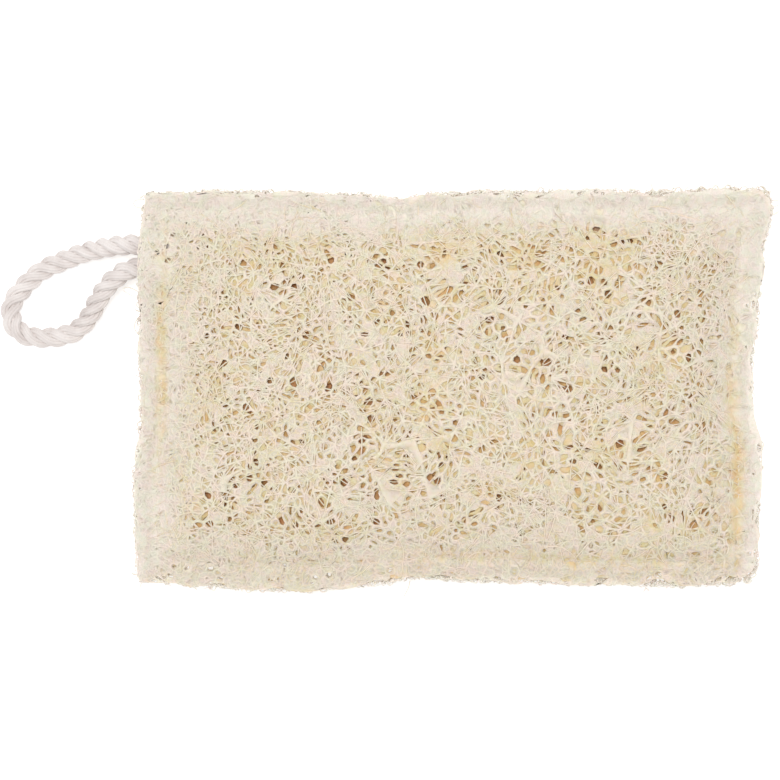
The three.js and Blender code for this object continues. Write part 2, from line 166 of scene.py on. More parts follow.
yarns = []
rope_random = random.Random(5)
for strand in range(STRANDS):
    turn = 2 * math.pi * (strand / STRANDS + rope_along / ROPE_LAY)
    for yarn in range(YARNS):
        loose = rope_random.uniform(0.97, 1.05)
        lie = turn + 2 * math.pi * (yarn / YARNS - rope_along / YARN_LAY)
        across = STRAND_OFF_AXIS * np.cos(turn) + YARN_OFF_STRAND * loose * np.cos(lie)
        above = STRAND_OFF_AXIS * np.sin(turn) + YARN_OFF_STRAND * loose * np.sin(lie)
        line = rope_line + rope_side * across[:, None] + rope_up * above[:, None]
        yarns.append((line, np.full(len(line), YARN_RADIUS)))
rope = fibres("rope_loop_strands", yarns, corners=1)


def cotton_material(name, pale, grey):
    """Undyed cotton, a little greyer in patches, with a fine fuzz."""
    material = bpy.data.materials.new(name)
    material.use_nodes = True
    nodes, links = material.node_tree.nodes, material.node_tree.links
    shader = nodes["Principled BSDF"]
    place = nodes.new("ShaderNodeTexCoord")
    cloud = nodes.new("ShaderNodeTexNoise")
    cloud.inputs["Scale"].default_value = 260.0
    cloud.inputs["Detail"].default_value = 6.0
    ramp = nodes.new("ShaderNodeValToRGB")
    ramp.color_ramp.elements[0].position = 0.3
    ramp.color_ramp.elements[0].color = (*grey, 1)
    ramp.color_ramp.elements[1].position = 0.62
    ramp.color_ramp.elements[1].color = (*pale, 1)
    fuzz = nodes.new("ShaderNodeTexNoise")
    fuzz.inputs["Scale"].default_value = 5200.0
    fuzz.inputs["Detail"].default_value = 3.0
    bump = nodes.new("ShaderNodeBump")
    bump.inputs["Strength"].default_value = 0.5
    bump.inputs["Distance"].default_value = 0.0001
    links.new(place.outputs["Object"], cloud.inputs["Vector"])
    links.new(place.outputs["Object"], fuzz.inputs["Vector"])
    links.new(cloud.outputs["Fac"], ramp.inputs["Fac"])
    links.new(ramp.outputs["Color"], shader.inputs["Base Color"])
    links.new(fuzz.outputs["Fac"], bump.inputs["Height"])
    links.new(bump.outputs["Normal"], shader.inputs["Normal"])
    shader.inputs["Roughness"].default_value = 0.9
    shader.inputs["Sheen Weight"].default_value = 0.25
    return material


rope.data.materials.append(cotton_material("cotton rope", (0.765, 0.705, 0.675), (0.62, 0.55, 0.52)))
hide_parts("rope_loop")
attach(rope, "root")


# Pad. Both layers follow one plan, in mm from the pad's middle: a rectangle cut by hand, so its
# edges wander. They are pressed thin along the seam, splayed out again at the margin and swollen
# in the middle.
HALF_LENGTH = PAD_HALF_LENGTH / MM
HALF_WIDTH = 49.125
CORNER_RADIUS = 1.8
SEAM_INSET = 5.5
SEAM_LAYER = 1.5
MARGIN_LAYER = 3.3
MARGIN_SPLAYED = 1.0
LAYER_HEIGHT = 10.85
ROLLED_EDGE = 1.0
EDGE_LEFT, EDGE_ROLLED = 0.15, 0.85
ROPE_COVER = 3.7
ROPE_COVER_PAST_END = 4.0
ROPE_COVER_FALL = 0.45
SWELL_RUN = 30.0
SWELL_POWER = 2.4
WARP_REACH = 30.0
WAIST_X, WAIST_HALF_WIDTH, WAIST_DEPTH = -10.0, 10.0, 1.1
# How far each edge stands out at places along it
LEFT_EDGE = [(-49, 0), (-45, 0.5), (-25, 1.25), (-5, -0.5), (15, 0), (35, -0.2), (44, -1), (49, -1.5)]
RIGHT_EDGE = [(-49, -2.5), (-45, -0.75), (-25, -0.25), (-15, 0.1), (-5, -2.2), (5, -2), (20, -0.5),
              (35, 0.75), (45, 3), (49, 2.6)]
TOP_EDGE = [(-78, -0.3), (-52, 0.25), (-22, -0.5), (-12, -1.75), (-5, -0.3), (12, 0.25), (48, 0.25),
            (73, 1), (78, 0.5)]
BOTTOM_EDGE = [(-78, -1), (-52, 1), (-37, 1.5), (-17, -0.25), (-8, -1.75), (8, -1), (32, -0.25),
               (62, 0.25), (78, -0.8)]


def smooth_step(t):
    """Eased from 0 to 1 as t goes from 0 to 1."""
    t = np.clip(t, 0, 1)
    return t * t * (3 - 2 * t)


def edge_shift(profile, at):
    """How far an edge stands out there, eased from point to point."""
    places, shifts = (np.array(column, float) for column in zip(*profile))
    i = np.clip(np.searchsorted(places, at) - 1, 0, len(places) - 2)
    t = smooth_step((at - places[i]) / (places[i + 1] - places[i]))
    return shifts[i] + (shifts[i + 1] - shifts[i]) * t


def inside_edge(x, y):
    """How far a place on the plain plan lies inside its rounded outline."""
    px = np.abs(x) - (HALF_LENGTH - CORNER_RADIUS)
    py = np.abs(y) - (HALF_WIDTH - CORNER_RADIUS)
    corner = (px > 0) & (py > 0)
    round_part = np.hypot(np.maximum(px, 0), np.maximum(py, 0))
    return CORNER_RADIUS - np.where(corner, round_part, np.maximum(px, py))


def warped(x, y):
    """Where the uneven pad has a place of the plain plan."""
    def pull(distance):
        return np.clip(1 - distance / WARP_REACH, 0, 1) ** 2
    right = edge_shift(RIGHT_EDGE, y) * pull(HALF_LENGTH - x)
    left = edge_shift(LEFT_EDGE, y) * pull(HALF_LENGTH + x)
    top = edge_shift(TOP_EDGE, x) * pull(HALF_WIDTH - y)
    bottom = edge_shift(BOTTOM_EDGE, x) * pull(HALF_WIDTH + y)
    return x + (right - left), y + (top - bottom)


def layer_height(x, y, side):
    """A layer's height above the pad's middle. Only the front has a waist."""
    inside = inside_edge(x, y)
    splay = smooth_step((SEAM_INSET - inside) / (SEAM_INSET - MARGIN_SPLAYED))
    margin = SEAM_LAYER + (MARGIN_LAYER - SEAM_LAYER) * splay
    swell = 1 - (1 - np.clip((inside - SEAM_INSET) / SWELL_RUN, 0, 1)) ** SWELL_POWER
    body = SEAM_LAYER + (LAYER_HEIGHT - SEAM_LAYER) * swell
    if side > 0:
        body = body - WAIST_DEPTH * swell * np.exp(-(((x - WAIST_X) / WAIST_HALF_WIDTH) ** 2))
    rolled = np.clip((inside + ROLLED_EDGE) / ROLLED_EDGE, 0, 1)
    margin = margin * (EDGE_LEFT + EDGE_ROLLED * np.sqrt(rolled * (2 - rolled)))
    height = np.where(inside < SEAM_INSET, margin, body)
    spread = np.abs(y - (ROPE_UPPER_Y + ROPE_LOWER_Y) / 2 / MM) - (ROPE_UPPER_Y - ROPE_LOWER_Y) / 2 / MM
    cover = ROPE_COVER - ROPE_COVER_FALL * np.maximum(0, spread - 1)
    covered = x < -HALF_LENGTH + ROPE_INSIDE / MM + ROPE_COVER_PAST_END
    return np.maximum(height, np.where(covered, cover, 0))


# Loofah net. The dried vascular net of the gourd: a foam of rounded holes whose fibres and skin
# grew together, three such nets deep, with a veil of thinner and straighter fibres over them. The
# wide holes of all the nets meet.
LONGEST_FIBRE = 2.6
SLIVER = 0.12
TRIES_PER_CELL = 36
UNEVEN, UNEVEN_PATCH = 0.6, 8
COARSER_RIGHT, COARSER_X, COARSER_RUN = 0.2, -28, 25
BORDER_PATCH = 1.8
DRAWN, DRAWN_PATCH = 1.4, 8
ROUND_HOLES = 33
FIBRE_BEND = 0.16
FIBRE_JITTER = 0.05
VEIL_CLEARS = 0.75
WIDTH_STEP = 0.04
FIBRE_LINE = 0.2
SMALLEST_HOLE = 0.22
SUNK = -2.0
DIMPLE = 0.4
# How wide and how deep each step of a lining's cup is, the depth as a share of the whole
CUP_STEPS = ((0.12, 0.3), (0.1, 0.45), (0.3, 0.25))
THROUGH_WITHIN = 7
WELD = 0.002
# The camera sees the pad's crown a little nearer than its middle, and so a little larger
CROWN_SCALE = 1 - 10.0 / 596
# The widest holes in the front layer, where one sees deepest, as seen on the crown
WIDE_HOLES = [
    (-24.9, 22.6), (-18.4, 16.6), (-12.4, 13.6), (-10.6, 16.1), (-40.9, 7.9), (-36.1, 13.4),
    (-48.4, -9.6), (-37.1, -13.4), (-30.4, 0.1), (-39.6, 1.6), (-45.1, 1.9), (-23.1, -1.1),
    (-20.4, -3.1), (-19.9, -7.4), (-21.1, 13.4), (-38.9, 25.4), (-29.9, 31.9), (-16.6, 32.1),
    (-7.4, 31.1), (-44.1, 25.4), (-53.1, 15.4), (-51.1, -4.6), (-56.6, 6.4), (-61.4, 13.1),
    (-22.1, -12.9), (-11.1, -17.4), (-6.4, 21.9), (26.6, 25.1), (34.8, 27.0), (7.9, 3.1),
    (41.4, 4.9), (38.6, 4.6), (18.6, 2.1), (29.4, -14.6), (34.4, -15.4), (30.6, -18.3),
    (36.9, -19.2), (47.9, -14.6), (42.4, -13.8), (46.9, 9.6), (59.6, 7.9), (56.9, 18.6),
    (55.6, 9.1), (39.6, 23.6), (36.6, 40.1), (34.6, 38.1), (45.1, 37.4), (13.1, 15.4),
    (9.9, 17.4), (16.4, 7.4), (29.4, -0.1), (49.4, 21.6), (12.6, 33.9), (53.6, -22.1),
    (53.6, -29.6), (28.6, 12.9), (24.4, 6.4), (-49.9, -22.6), (-46.6, -23.6), (-53.4, -24.1),
    (-60.6, -27.0), (-56.8, -28.8), (-60.4, -34.1), (-48.6, -18.4), (-42.0, -33.8),
    (-38.9, -34.4), (-29.6, -33.6), (-26.5, -38.0), (-32.6, -28.1), (-26.4, -23.6),
    (-14.2, -23.4), (-18.4, -33.6), (-24.1, -17.6), (-10.9, -18.8), (-3.1, -23.1),
    (-1.6, -27.1), (12.2, -27.4), (17.9, -36.4), (63.1, -31.4), (-2.4, -18.9),
]
# Small dark pits near the rope
DARK_SPOTS = [
    (-66.7, 42.0), (-69.9, 39.1), (-62.1, 38.6), (-60.9, 35.7), (-63.4, 35.4), (-71.5, 36.1),
    (-73.9, 34.7), (-71.3, 32.1),
]
# Places near the cut edge where light comes through both layers
LIGHT_HOLES = [
    (-69.9, -45.4), (-66.6, -45.6), (-60.9, -45.8), (-61.4, -48.0), (-58.1, -48.4), (-70.9, -47.4),
    (-41.6, -44.8), (-34.1, -48.0), (-30.6, -47.4), (-14.9, -46.2), (52.4, -47.4), (76.2, -41.9),
    (77.2, -44.2), (75.4, 21.0),
]
# The room a hole has round it, least and most, in spacings of its net
WIDE_ROOM, DARK_ROOM, LIGHT_ROOM = (1.2, 1.45), (0.7, 0.75), (1.0, 1.05)


def drawn(x, y):
    """The even net drawn out along soft curves, as the gourd grew, and still at its border."""
    fade = DRAWN * smooth_step((inside_edge(x, y) - 2) / 10)
    dx, dy = (np.array([noise.noise((u / DRAWN_PATCH, v / DRAWN_PATCH, level)) for u, v in zip(x, y)])
              for level in (31.5, 77.5))
    return x + fade * dx, y + fade * dy


def undrawn(x, y):
    """Where on the even net a place of the drawn net comes from."""
    u, v = x.copy(), y.copy()
    for _ in range(8):
        a, b = drawn(u, v)
        u, v = u + x - a, v + y - b
    return u, v


def holes_at(places, room):
    """Holes seen at these places of the pad's crown, moved to where the plain plan has them."""
    x, y = (np.array(column, float) * CROWN_SCALE for column in zip(*places))
    px, py = warped(x, y)
    return [(u, v, room) for u, v in zip(*undrawn(2 * x - px, 2 * y - py))]


def scattered(rng, spacing, border, kept):
    """Places on the plan about a spacing apart, closer in some patches than in others, with room
    left round the kept ones, which come first."""
    taken, places = {}, []

    def put(x, y, room):
        taken.setdefault((int(x // spacing), int(y // spacing)), []).append((x, y, room))
        places.append(Vector((x, y)))

    for x, y, room in kept:
        put(x, y, room)
    reach_x, reach_y = HALF_LENGTH - border + 1, HALF_WIDTH - border + 1
    for _ in range(int(TRIES_PER_CELL * reach_x * reach_y / spacing ** 2)):
        x, y = rng.uniform(-reach_x, reach_x), rng.uniform(-reach_y, reach_y)
        if max(abs(x) - reach_x, abs(y) - reach_y) > -7:
            if inside_edge(x, y) < border + noise.noise((x / BORDER_PATCH, y / BORDER_PATCH, 1.3)):
                continue
        apart = spacing * (1 + UNEVEN * noise.noise((x / UNEVEN_PATCH, y / UNEVEN_PATCH, spacing)))
        apart = apart * (1.0 + COARSER_RIGHT * math.tanh((x - COARSER_X) / COARSER_RUN))
        i, j = int(x // spacing), int(y // spacing)
        near = (p for a in range(-2, 3) for b in range(-2, 3) for p in taken.get((i + a, j + b), ()))
        if all((x - u) ** 2 + (y - v) ** 2 > max(apart, room) ** 2 for u, v, room in near):
            put(x, y, 0)
    return places


def triangles_between(places, spacing, border):
    """Triangles between neighbouring places, without slivers and stretched ones at the border."""
    flat = delaunay_2d_cdt(places, [], [], 0, 1e-6)
    bm = bmesh.new()
    bm.verts.layers.float.new("ridge")
    verts = [bm.verts.new((p.x, p.y, 0)) for p in flat[0]]
    for corners in flat[2]:
        points = [flat[0][k] for k in corners]
        middle = (points[0] + points[1] + points[2]) / 3
        sides = [(points[k] - points[k - 1]).length for k in range(3)]
        twice_area = abs((points[1] - points[0]).cross(points[2] - points[0]))
        sound = max(sides) < LONGEST_FIBRE * spacing and not twice_area / sum(sides) < SLIVER * spacing
        if sound or inside_edge(middle.x, middle.y) > border + 3:
            bm.faces.new([verts[k] for k in corners])
    bmesh.ops.delete(bm, geom=[v for v in bm.verts if not v.link_faces], context="VERTS")
    return bm


def edge_middle(edge):
    """Where the middle of a fibre lies on the plan."""
    a, b = edge.verts
    return (a.co.x + b.co.x) / 2, (a.co.y + b.co.y) / 2


def join_cells(bm, rng, share):
    """Takes fibres out so that some cells are two grown together."""
    free = dict.fromkeys(bm.verts, True)
    whole = dict.fromkeys(bm.faces, True)
    edges = [e for e in bm.edges if len(e.link_faces) == 2]
    rng.shuffle(edges)
    taken = []
    for e in edges:
        x, y = edge_middle(e)
        if rng.random() > share * (1 + 1.2 * noise.noise((x / 5, y / 5, 3.7))):
            continue
        if not all(free[v] for v in e.verts) or not all(whole[f] for f in e.link_faces):
            continue
        for v in e.verts:
            free[v] = False
        for f in e.link_faces:
            whole[f] = False
        taken.append(e)
    bmesh.ops.dissolve_edges(bm, edges=taken, use_verts=False, use_face_split=False)


def foam_cells(rng, places, spacing, border, joined_share):
    """Rounded cells, one round each place, some of them grown together."""
    bm = triangles_between(places, spacing, border)
    bmesh.ops.bevel(bm, geom=bm.verts[:], offset=ROUND_HOLES, offset_type="PERCENT",
                    affect="VERTICES", segments=1, profile=0.5, material=-1)
    join_cells(bm, rng, joined_share)
    return bm


def star_cells(rng, places, spacing, border, joined_share, kept):
    """Cells between straight fibres that meet in stars at the places, with none across the kept
    holes. Many are grown together, and the long fibres bend."""
    bm = triangles_between(places, spacing, border)
    crossing = []
    for e in bm.edges:
        mx, my = edge_middle(e)
        if any(math.hypot(mx - x, my - y) < VEIL_CLEARS * room for x, y, room in kept):
            crossing.append(e)
    bmesh.ops.dissolve_edges(bm, edges=crossing, use_verts=False, use_face_split=False)
    for _ in range(2):
        join_cells(bm, rng, joined_share)
    long_fibres = [e for e in bm.edges if e.calc_length() > spacing]
    bent = bmesh.ops.bisect_edges(bm, edges=long_fibres, cuts=1)["geom_split"]
    for v in (g for g in bent if isinstance(g, bmesh.types.BMVert)):
        v.co += Vector((rng.uniform(-1, 1), rng.uniform(-1, 1), 0)) * FIBRE_BEND * spacing
    return bm


def cells_at(bm, kept):
    """The cells nearest to the kept places, in their order."""
    cells = bm.faces[:]
    tree = kdtree.KDTree(len(cells))
    for k, f in enumerate(cells):
        tree.insert(f.calc_center_median(), k)
    tree.balance()
    return dict.fromkeys(cells[tree.find((x, y, 0))[1]] for x, y, room in kept)


def closeness(x, y):
    """How tightly the net is skinned over there: wholly at the margin, and further in at the
    rope's end."""
    inside = inside_edge(x, y) - 3.5 * smooth_step((-x - 42) / 20)
    return np.clip(1.02 - smooth_step((inside - 4) / 13), 0, 1)


def open_cells(bm, rng, seed, cells, wide, fibre, web, skin, drop, foam):
    """Insets every cell by the width of its fibres or of its skin's lip, and returns the holes."""
    ridge = bm.verts.layers.float["ridge"]
    tight = closeness(*np.array([[c.x, c.y] for f, c, inradius in cells]).T)
    opened, skinned = {}, {}
    for (f, c, inradius), close in zip(cells, tight):
        patch = min(max(0.5 + 0.9 * noise.noise((c.x / 6 + seed, c.y / 6, 9.1)), 0), 1)
        kind = rng.random()
        if f in wide or not foam:
            width = fibre * rng.uniform(0.7, 1.2)
        elif kind < skin * 2 * patch * (1 - close) + 0.55 * close or inradius < SMALLEST_HOLE:
            lip = min(0.55 * inradius, 0.34)
            skinned.setdefault(max(round(lip / WIDTH_STEP), 1), []).append(f)
            continue
        elif kind < 1 - (1 - web) * (2 - 2 * patch) * (1 - 0.8 * close):
            width = inradius * rng.uniform(0.34 + 0.12 * close, 0.66 + 0.1 * close)
        else:
            width = fibre * rng.uniform(0.75, 1.4)
        width = min(max(width, 0.6 * fibre), 0.8 * inradius)
        opened.setdefault(round(width / WIDTH_STEP), []).append(f)
    for group in (opened, skinned):
        for step in sorted(group):
            width = max(step, 1) * WIDTH_STEP
            bmesh.ops.inset_individual(bm, faces=group[step], thickness=width, depth=-drop,
                                       use_even_offset=True)
            for f in group[step]:
                for v in f.verts:
                    v[ridge] = 1 - width / FIBRE_LINE
    return [f for faces in opened.values() for f in faces]


def cup_cells(bm, wide, cup):
    """Closes a lining with a dimpled skin that has cups in the wide cells. Near the margin these
    stay open instead, and they are returned."""
    ridge = bm.verts.layers.float["ridge"]
    rest = [f for f in bm.faces if f not in wide]
    sunk = bmesh.ops.poke(bm, faces=rest, offset=-DIMPLE, center_mode="MEAN")["verts"]
    through = [f for f in wide if inside_edge(*f.calc_center_median().xy) < THROUGH_WITHIN]
    cups = [f for f in wide if f not in through]
    for width, depth in CUP_STEPS:
        bmesh.ops.inset_individual(bm, faces=cups, thickness=width, depth=-depth * cup,
                                   use_even_offset=True)
    for v in sunk + [v for f in cups for v in f.verts]:
        v[ridge] = SUNK
    return through


def rein_in(cells, most):
    """Pulls the far corners of stretched cells in towards their middles."""
    for f, c, inradius in cells:
        if f.is_valid:
            for v in f.verts:
                reach = (v.co - c).xy.length
                if reach > most:
                    v.co.xy = (c + (v.co - c) * (most / reach)).xy


def thicken(bm, holes, drop, rounds):
    """Rounds the holes and takes them out, and gives the net its underside, which meets the top at
    the lips, and walls at its border."""
    ridge = bm.verts.layers.float["ridge"]
    rims = list(dict.fromkeys(v for f in holes for v in f.verts))
    for _ in range(rounds):
        bmesh.ops.smooth_vert(bm, verts=rims, factor=0.4, use_axis_x=True, use_axis_y=True,
                              use_axis_z=False)
    bmesh.ops.delete(bm, geom=holes, context="FACES_ONLY")
    cut = [e for e in bm.edges if len(e.link_faces) == 1]
    for e in cut:
        e.smooth = False
    lips = {v for e in cut for v in e.verts if v[ridge] != 1.0}
    ridges = [v for v in bm.verts if v not in lips]
    border = [e for e in cut if not any(v in lips for v in e.verts)]
    down = (0, 0, -2 * drop)
    under = bmesh.ops.duplicate(bm, geom=bm.verts[:] + bm.edges[:] + bm.faces[:])
    under_faces = [g for g in under["geom"] if isinstance(g, bmesh.types.BMFace)]
    bmesh.ops.translate(bm, verts=[under["vert_map"][v] for v in ridges], vec=down)
    bmesh.ops.reverse_faces(bm, faces=under_faces)
    walls = bmesh.ops.extrude_edge_only(bm, edges=border)["geom"]
    wall_foot = [g for g in walls if isinstance(g, bmesh.types.BMVert)]
    bmesh.ops.translate(bm, verts=wall_foot, vec=down)
    bmesh.ops.remove_doubles(bm, verts=bm.verts, dist=WELD)
    bmesh.ops.delete(bm, geom=[e for e in bm.edges if not e.link_faces], context="EDGES")


def net(name, seed, holes, spacing, border, joined_share, fibre, drop, wander,
        web=0.0, skin=0.0, cup=0.0, foam=True):
    """A net still flat on the plan. joined_share is how many cells grew together, fibre half a
    fibre's width, web the share of cells with a skin round a smaller hole, skin the share closed
    over, drop half the net's thickness, and wander how far it strays up and down. A lining has
    cups this deep at its holes. A net that is no foam has straight fibres that meet in stars."""
    rng = random.Random(seed)
    kept = [(x, y, spacing * rng.uniform(*room)) for x, y, room in holes
            if inside_edge(x, y) > border + 0.5]
    places = scattered(rng, spacing, border, kept)
    if foam:
        bm = foam_cells(rng, places, spacing, border, joined_share)
    else:
        bm = star_cells(rng, places[len(kept):], spacing, border, joined_share, kept)
    ridge = bm.verts.layers.float["ridge"]
    bm.normal_update()
    bmesh.ops.reverse_faces(bm, faces=[f for f in bm.faces if f.normal.z < 0])
    wide = cells_at(bm, kept)
    x, y = drawn(*np.array([v.co[:2] for v in bm.verts]).T)
    for v, px, py in zip(bm.verts, x, y):
        v.co = (px + rng.uniform(-1, 1) * FIBRE_JITTER * spacing,
                py + rng.uniform(-1, 1) * FIBRE_JITTER * spacing, rng.uniform(-wander, wander))
        v[ridge] = 1.0
    bm.normal_update()
    cells = [(f, f.calc_center_median(), 2 * f.calc_area() / f.calc_perimeter()) for f in bm.faces]
    if cup:
        openings = cup_cells(bm, wide, cup)
    else:
        openings = open_cells(bm, rng, seed, cells, wide, fibre, web, skin, drop, foam)
    rein_in(cells, spacing * (1.1 if foam else 2.2))
    thicken(bm, openings, drop, rounds=3 if foam else 1)
    for f in bm.faces:
        f.smooth = True
    mesh = bpy.data.meshes.new(name)
    bm.to_mesh(mesh)
    bm.free()
    return mesh


# Laying the nets. Each flat net is laid over the swollen pad at its own depth, front and back, and
# every place keeps how deep it lies and how pale it is, for the fibre's colour: the depth darkens it,
# partly as the inner fibre's tone and partly as painted shade, and the paleness is painted light at the
# margin.
HILL = 0.5
LOOSE_WITHIN = 16
DEEPEST = 4.0
PIT_PATCH = 4.2
RESTS_FROM, RESTS_WITHIN = 9.8, 1.15
GOLDEN_GRAIN = (1.6, 2.4)
# Where the fibres are yellower and darker: x, y, half length, half width, and how much. The first three
# and the long strip at y -42.5 lie along the pressed seam channel and are painted shade there; the others
# are yellower patches.
GOLDEN = [
    (-71.9, 8, 1.7, 25, 0.22), (71.8, -26, 1.8, 20, 0.23), (71.5, 8, 2.5, 24, 0.12),
    (18, 35, 34, 6, 0.06), (52, -34, 20, 6, 0.05), (-14, 5, 10, 40, 0.03), (38, -16, 16, 9, 0.04),
    (-36, 31, 22, 5, 0.04), (20, -42.5, 50, 1.5, 0.08), (-2.5, 0, 3, 34, 0.04),
    (36, 28, 6, 5, 0.05), (18, 23, 12, 5, 0.04), (49, 10, 4, 3, 0.04), (18, 3, 4, 4, 0.04),
]


def hills(x, y, seed):
    """The layer's soft lumps."""
    return np.array([noise.noise((u / 9, v / 9, seed)) + 0.5 * noise.noise((u / 3.5, v / 3.5, seed + 4))
                     for u, v in zip(x, y)])


def on_pad(x, y, local, side):
    """Places of the plan, at heights above the pad's middle, as points in the room."""
    px, py = warped(x, y)
    return np.column_stack([px * MM + PLAN_X, py * MM + PLAN_Y, PAD_MIDDLE_Z + side * local * MM])


def rested(local, side):
    """Heights of the layer, flattened at the back where it lies on the surface."""
    local = np.maximum(local, -0.5)
    if side > 0:
        return local
    pressed = RESTS_FROM + RESTS_WITHIN * (1 - np.exp((RESTS_FROM - local) / RESTS_WITHIN))
    return np.where(local < RESTS_FROM, local, pressed)


def lay_on(mesh, side, depth, seed, pits=0.0):
    """Lays a flat net on one side of the pad at a depth, and deeper in the pits, and notes how
    deep and how pale each place is."""
    co = np.empty(len(mesh.vertices) * 3)
    mesh.vertices.foreach_get("co", co)
    x, y, z = co.reshape(-1, 3).T
    inside = inside_edge(x, y)
    height = layer_height(x, y, side)
    loose = np.clip(inside / LOOSE_WITHIN, 0.25, 1)
    depth = depth * (1 - 0.6 * closeness(x, y))
    if pits:
        sunk = np.array([noise.noise((u / PIT_PATCH, v / PIT_PATCH, seed + 0.5)) for u, v in zip(x, y)])
        depth = depth + pits * smooth_step((sunk + 0.05) / 0.4) * (1 - closeness(x, y))
    local = height - np.minimum(depth, 0.62 * height)
    local = local + HILL * loose * hills(x, y, seed) + z * np.clip(inside / 8, 0.5, 1)
    mesh.vertices.foreach_set("co", on_pad(x, y, rested(local, side), side).ravel())
    if side < 0:
        mesh.flip_normals()
    # Yellower and darker in patches, and along the seam channel as painted shade.
    golden = sum(much * np.exp(-(((x - gx) / half_x) ** 2) - (((y - gy) / half_y) ** 2))
                 for gx, gy, half_x, half_y, much in GOLDEN)
    golden = golden * np.array([1 + noise.noise((u / GOLDEN_GRAIN[0], v / GOLDEN_GRAIN[1], 5.5))
                                for u, v in zip(x, y)])
    # Painted light: the margin is painted paler along the top and the ends, and hardly along the bottom.
    painted_light_top_and_ends = 1 - 0.9 * smooth_step((HALF_LENGTH - np.abs(x) - HALF_WIDTH - y) / 8 + 0.5)
    notes = {
        # deep is the depth below the surface; it darkens the fibre's colour, partly as its inner tone and
        # partly as painted shade in the hollows.
        "deep": (depth - z) / DEEPEST + golden,
        "pale": (1 - smooth_step((inside - 5) / 8)) * painted_light_top_and_ends - 3 * golden,
    }
    for note, values in notes.items():
        layer = mesh.attributes.new(note, "FLOAT", "POINT")
        layer.data.foreach_set("value", np.clip(values, 0, 1).astype(np.float32))
    mesh.update()
    return mesh


def joined(name, meshes):
    """One piece of several nets that grew together."""
    bm = bmesh.new()
    for mesh in meshes:
        bm.from_mesh(mesh)
        bpy.data.meshes.remove(mesh)
    whole = bpy.data.meshes.new(name)
    bm.to_mesh(whole)
    bm.free()
    made = bpy.data.objects.new(name, whole)
    bpy.context.scene.collection.objects.link(made)
    return made


# Loofah fibre. Dry, unbleached plant fibre: yellowish where it is a ridge, paler where skin spans
# it, and ochre to brown further in, the brown partly painted shade that darkens the deeper places.
# Along the top and end margins it is painted paler, and the frayed edge almost white: painted light
# on the cut edge.
# Painted light: the pale colour of the margin and the near white of the frayed edge stand in for the
# light the cut edge catches.
MARGIN_PALE_AND_LIT = (0.885, 0.81, 0.70)
EDGE_PALE = (0.88, 0.80, 0.69)
# From the surface inwards these darken to brown: partly the inner fibre's tone, partly painted shade in
# the depths.
FIBRE_TONES_AND_DEPTH_SHADE = [(0.0, (0.79, 0.675, 0.515)), (0.08, (0.76, 0.63, 0.42)), (0.15, (0.68, 0.55, 0.30)),
               (0.3, (0.71, 0.49, 0.21)), (0.5, (0.70, 0.40, 0.14)), (0.9, (0.50, 0.23, 0.08))]


